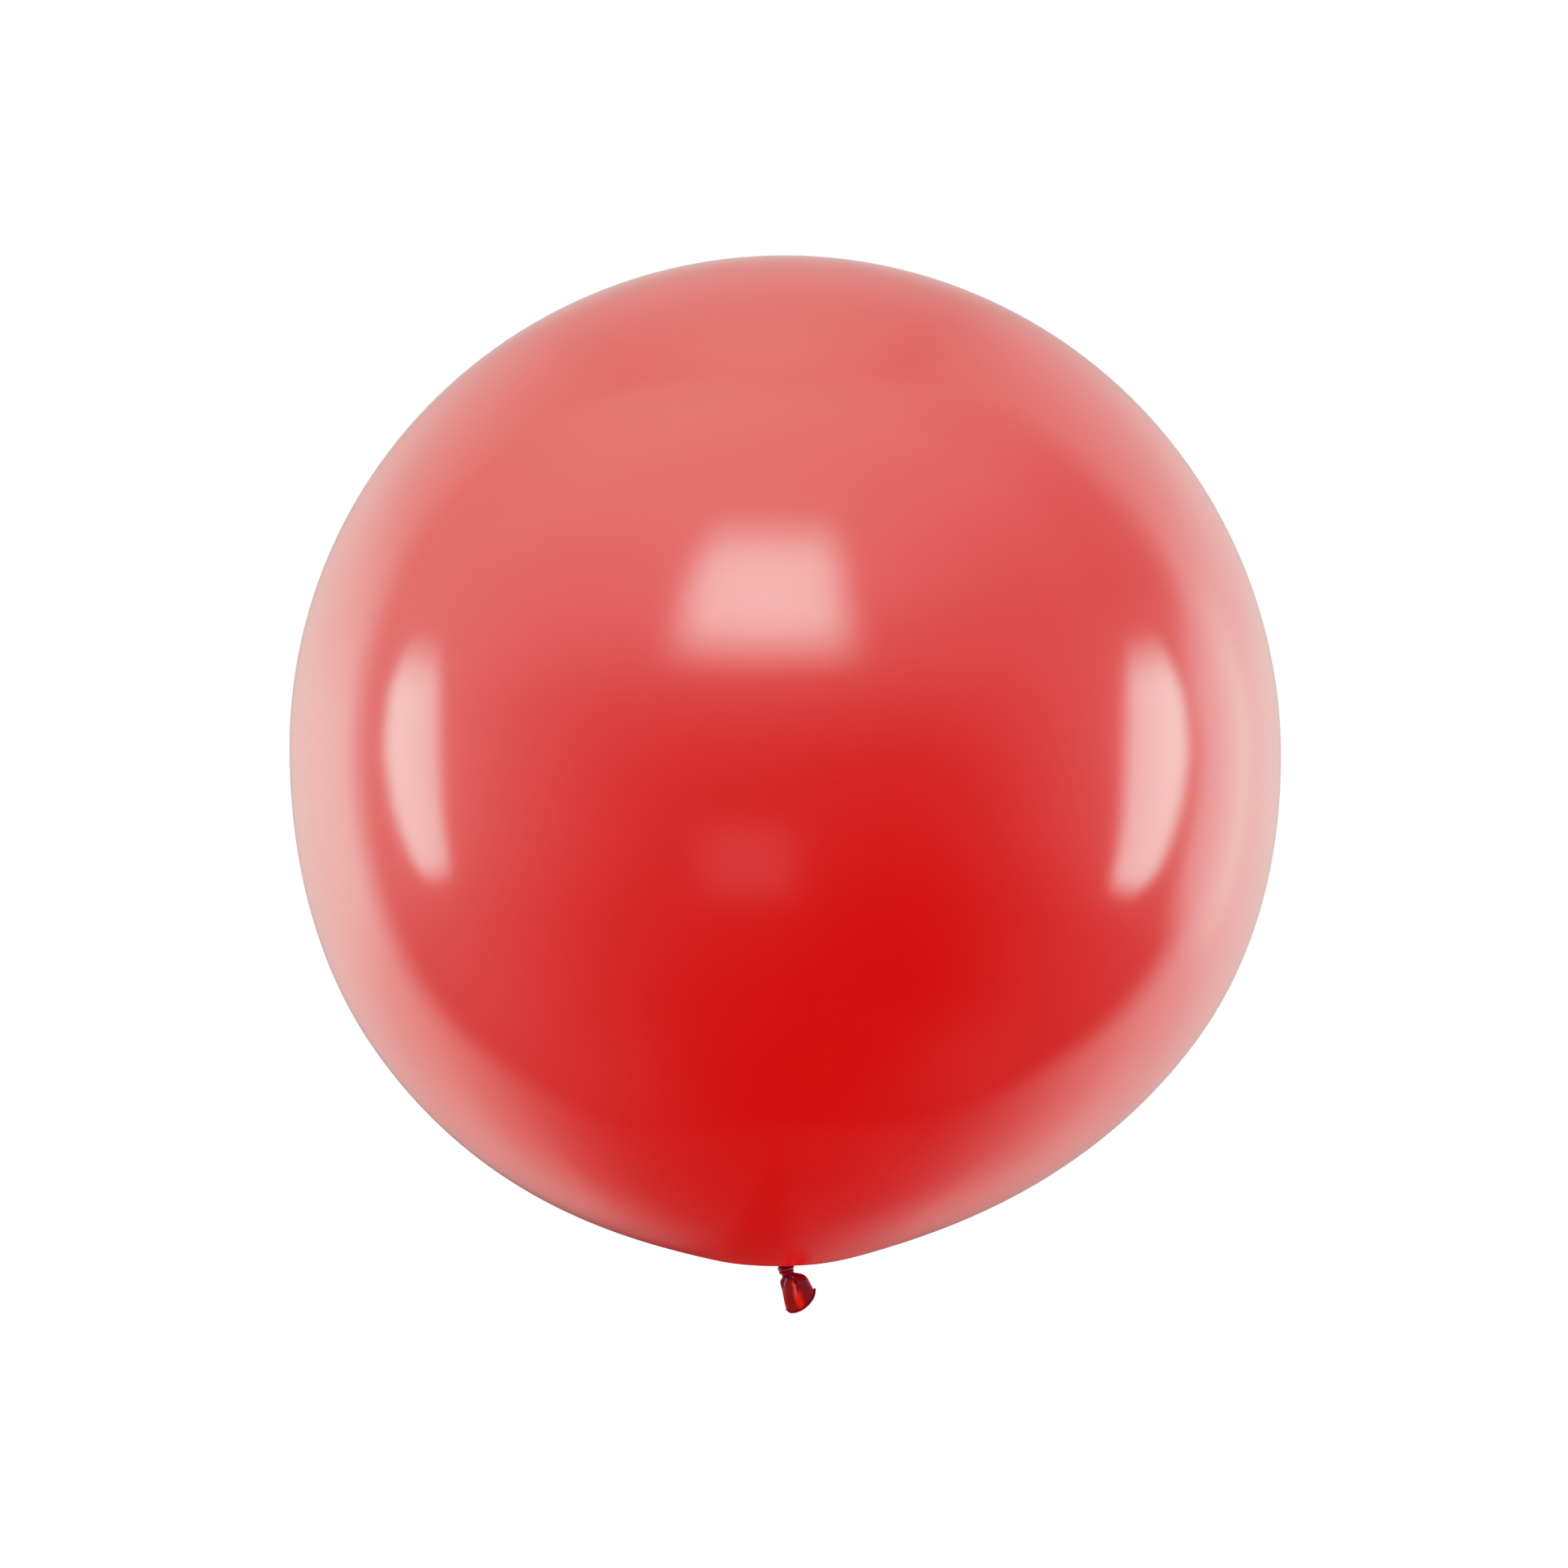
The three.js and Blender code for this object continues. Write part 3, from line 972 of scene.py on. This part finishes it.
def room_in_gloss(tree):
    """The room that only the gloss sees: a white ceiling, brighter in front, pale side walls, a
    backdrop that brightens away from its middle, and a dark floor. Returns its brightness."""
    way = tree.nodes.new("ShaderNodeSeparateXYZ")
    tree.links.new(tree.nodes.new("ShaderNodeTexCoord").outputs["Generated"], way.inputs[0])
    right, back, up = way.outputs["X"], way.outputs["Y"], way.outputs["Z"]
    place = math_node(tree, "ADD", math_node(tree, "MULTIPLY", up, 0.5), 0.5)
    level = math_node(tree, "SUBTRACT", 1.0, math_node(tree, "MULTIPLY", up, up))
    level = math_node(tree, "SQRT", math_node(tree, "MAXIMUM", level, 0.000001), 0.0)
    sideways = math_node(tree, "ABSOLUTE", math_node(tree, "DIVIDE", right, level), 0.0)
    sideways_4 = math_node(tree, "POWER", sideways, 4.0)

    ceiling = by_height(tree, place, CEILING)
    ceiling = math_node(tree, "MULTIPLY", ceiling, ranged(tree, back, -0.15, 0.75, 1.0, 0.32))
    narrowed = math_node(tree, "MULTIPLY", math_node(tree, "MULTIPLY", right, right), 0.42)
    ceiling = math_node(tree, "MULTIPLY", ceiling, from_end(tree, narrowed))

    walls = by_height(tree, place, SIDE_WALLS)
    walls = math_node(tree, "MULTIPLY", walls, sideways_4)

    left = by_height(tree, place, LEFT_FRONT)
    left = math_node(tree, "MULTIPLY", left, ranged(tree, back, 0.0, 0.714, 1.0, 0.0))
    left = math_node(tree, "MULTIPLY", left, math_node(tree, "MULTIPLY", right, -1.0))
    front = math_node(tree, "ADD", math_node(tree, "ADD", ceiling, walls), left)

    near = by_height(tree, place, NEAR_BACKDROP)
    off_middle = math_node(tree, "ADD", math_node(tree, "DIVIDE", right, level), 0.025)
    off_middle = math_node(tree, "ABSOLUTE", off_middle, 0.0)
    near = math_node(tree, "MULTIPLY", near, off_middle)
    steeper = ranged(tree, up, -0.75, -0.35, 3.5, 15.0)
    steepness = math_node(tree, "MULTIPLY", off_middle, steeper)
    steepness = math_node(tree, "MINIMUM", steepness, ranged(tree, right, -0.05, 0.05, 2.5, 2.3))
    near = math_node(tree, "MULTIPLY", near, steepness)
    far = by_height(tree, place, FAR_BACKDROP)
    backdrop = math_node(tree, "ADD", near, math_node(tree, "MULTIPLY", far, sideways_4))
    edge = ranged(tree, off_middle, 0.03, 0.09, 0.0, 0.22, smooth=True)
    edge = math_node(tree, "MULTIPLY", edge, ranged(tree, up, -0.3, -0.04, 0.3, 1.0))
    backdrop = math_node(tree, "ADD", backdrop, edge)
    above = by_height(tree, place, ABOVE_BACKDROP)
    dimmer_right = from_end(tree, math_node(tree, "MULTIPLY", right, 0.3))
    above = math_node(tree, "MULTIPLY", above, dimmer_right)
    backdrop = math_node(tree, "SMOOTH_MAX", backdrop, above)
    backdrop.node.inputs[2].default_value = 0.12

    behind = ranged(tree, math_node(tree, "DIVIDE", back, level), 0.3, 0.55, 0.0, 1.0, smooth=True)
    mix = tree.nodes.new("ShaderNodeMix")
    tree.links.new(behind, mix.inputs["Factor"])
    tree.links.new(front, mix.inputs["A"])
    tree.links.new(backdrop, mix.inputs["B"])
    return math_node(tree, "MAXIMUM", mix.outputs["Result"], 0.0)


def make_room(settings):
    """Even white light all round, with the room's own lights and darks only in the gloss."""
    world = bpy.data.worlds.new("room")
    bpy.context.scene.world = world
    world.use_nodes = True
    tree = world.node_tree
    tree.nodes.clear()
    rays = tree.nodes.new("ShaderNodeLightPath")
    strength = tree.nodes.new("ShaderNodeMix")
    strength.inputs["A"].default_value = settings.room_light
    tree.links.new(rays.outputs["Is Glossy Ray"], strength.inputs["Factor"])
    tree.links.new(room_in_gloss(tree), strength.inputs["B"])
    light = tree.nodes.new("ShaderNodeBackground")
    colour = colour_mix(tree, rays.outputs["Is Glossy Ray"], (1, 1, 1), (1, 0.995, 0.94))
    tree.links.new(colour, light.inputs["Color"])
    result = tree.nodes.new("ShaderNodeOutputWorld")
    tree.links.new(strength.outputs["Result"], light.inputs["Strength"])
    tree.links.new(light.outputs[0], result.inputs["Surface"])


def make_floor(settings):
    """A plain white floor, far below and left out of the gloss."""
    half, z = FLOOR_HALF, settings.floor_height
    mesh = bpy.data.meshes.new("studio_floor")
    corners = [(-half, -half, z), (half, -half, z), (half, half, z), (-half, half, z)]
    mesh.from_pydata(corners, [], [(0, 1, 2, 3)])
    floor = bpy.data.objects.new("studio_floor", mesh)
    bpy.context.scene.collection.objects.link(floor)
    material = bpy.data.materials.new("studio_floor")
    material.use_nodes = True
    shader = material.node_tree.nodes["Principled BSDF"]
    shader.inputs["Base Color"].default_value = (0.96, 0.96, 0.96, 1)
    shader.inputs["Roughness"].default_value = 0.9
    shader.inputs["Specular IOR Level"].default_value = 0.0
    mesh.materials.append(material)
    floor.visible_glossy = False


def make_camera(settings):
    camera = bpy.data.objects.new("camera", bpy.data.cameras.new("camera"))
    bpy.context.scene.collection.objects.link(camera)
    camera.data.lens = camera.data.sensor_width * settings.camera_distance / settings.frame_width
    camera.data.clip_end = 100
    camera.location = (0, -settings.camera_distance, CENTRE_Z - settings.aim_below_middle)
    camera.rotation_euler = (math.pi / 2, 0, 0)
    bpy.context.scene.camera = camera


def make_response():
    """How the picture takes light: even up to a mid tone, then a gentle shoulder to white."""
    view = bpy.context.scene.view_settings
    view.view_transform = "Standard"
    view.use_curve_mapping = True
    mapping = view.curve_mapping
    mapping.clip_max_x = 2.0
    curve = mapping.curves[3]
    curve.points[0].location = (0.0, 0.0)
    curve.points[1].location = (1.36, 1.0)
    for place in ((0.4, 0.4), (0.74, 0.725), (0.92, 0.81), (1.12, 0.885)):
        curve.points.new(*place)
    mapping.update()


def make_stage(settings):
    make_camera(settings)
    make_response()
    make_room(settings)
    make_floor(settings)
    strong = settings.box_strength
    add_softbox("key_softbox", KEY_ROWS, 1.3 * strong, soft=(0.26, 0.4, 0.44), dome=0.3)
    add_softbox("left_strip", LEFT_STRIP_ROWS, strong, soft=(0.24, 0.12, 0.3))
    add_softbox("right_strip", RIGHT_STRIP_ROWS, strong, soft=(0.24, 0.12, 0.25))
    add_softbox("fill_card", FILL_ROWS, 0.95, soft=(0.4, 0.5, 0.35))
    add_softbox("right_wall", RIGHT_WALL_ROWS, 3.9, soft=(0.3, 0.3, 0.35))


# ---- Operators and panel ----


class BALLOON_OT_stage(bpy.types.Operator):
    """Make the camera, the even room light, the softboxes and the floor"""

    bl_idname = "balloon.stage"
    bl_label = "Studio"

    def execute(self, context):
        make_stage(context.scene.balloon_studio)
        return {"FINISHED"}


class BALLOON_OT_envelope(bpy.types.Operator):
    """Make the inflated skin and the puckered gather round the neck"""

    bl_idname = "balloon.envelope"
    bl_label = "Envelope"

    def execute(self, context):
        make_envelope(context.scene.balloon_sizes, context.scene.balloon_colours)
        make_gather(context.scene.balloon_sizes, context.scene.balloon_colours)
        return {"FINISHED"}


class BALLOON_OT_knot(bpy.types.Operator):
    """Make the neck's tight bundle and the two turns of the knot"""

    bl_idname = "balloon.knot"
    bl_label = "Neck and knot"

    def execute(self, context):
        make_neck(context.scene.balloon_colours)
        make_knot(context.scene.balloon_sizes, context.scene.balloon_colours)
        return {"FINISHED"}


class BALLOON_OT_tail(bpy.types.Operator):
    """Make the pleated sleeve and its rolled lip"""

    bl_idname = "balloon.tail"
    bl_label = "Tail"

    def execute(self, context):
        make_sleeve(context.scene.balloon_sizes, context.scene.balloon_colours)
        make_lip(context.scene.balloon_sizes, context.scene.balloon_colours)
        return {"FINISHED"}


class BALLOON_PT_parts(bpy.types.Panel):
    """The balloon's pieces, sizes and colours"""

    bl_idname = "BALLOON_PT_parts"
    bl_label = "Latex balloon"
    bl_space_type = "VIEW_3D"
    bl_region_type = "UI"
    bl_category = "Balloon"

    def draw(self, context):
        for operator in OPERATORS:
            self.layout.operator(operator.bl_idname)
        for owner in ("balloon_sizes", "balloon_colours", "balloon_studio"):
            group = getattr(context.scene, owner)
            for name in group.__annotations__:
                self.layout.prop(group, name)


OPERATORS = (BALLOON_OT_stage, BALLOON_OT_envelope, BALLOON_OT_knot, BALLOON_OT_tail)
CLASSES = (BalloonSizes, LatexColours, StudioSettings, *OPERATORS, BALLOON_PT_parts)


def register():
    for kind in CLASSES:
        bpy.utils.register_class(kind)
    bpy.types.Scene.balloon_sizes = PointerProperty(type=BalloonSizes)
    bpy.types.Scene.balloon_colours = PointerProperty(type=LatexColours)
    bpy.types.Scene.balloon_studio = PointerProperty(type=StudioSettings)


def unregister():
    del bpy.types.Scene.balloon_studio
    del bpy.types.Scene.balloon_colours
    del bpy.types.Scene.balloon_sizes
    for kind in reversed(CLASSES):
        bpy.utils.unregister_class(kind)


def main():
    register()
    bpy.ops.balloon.stage()
    bpy.ops.balloon.envelope()
    bpy.ops.balloon.knot()
    bpy.ops.balloon.tail()
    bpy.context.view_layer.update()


if __name__ == "__main__":
    main()
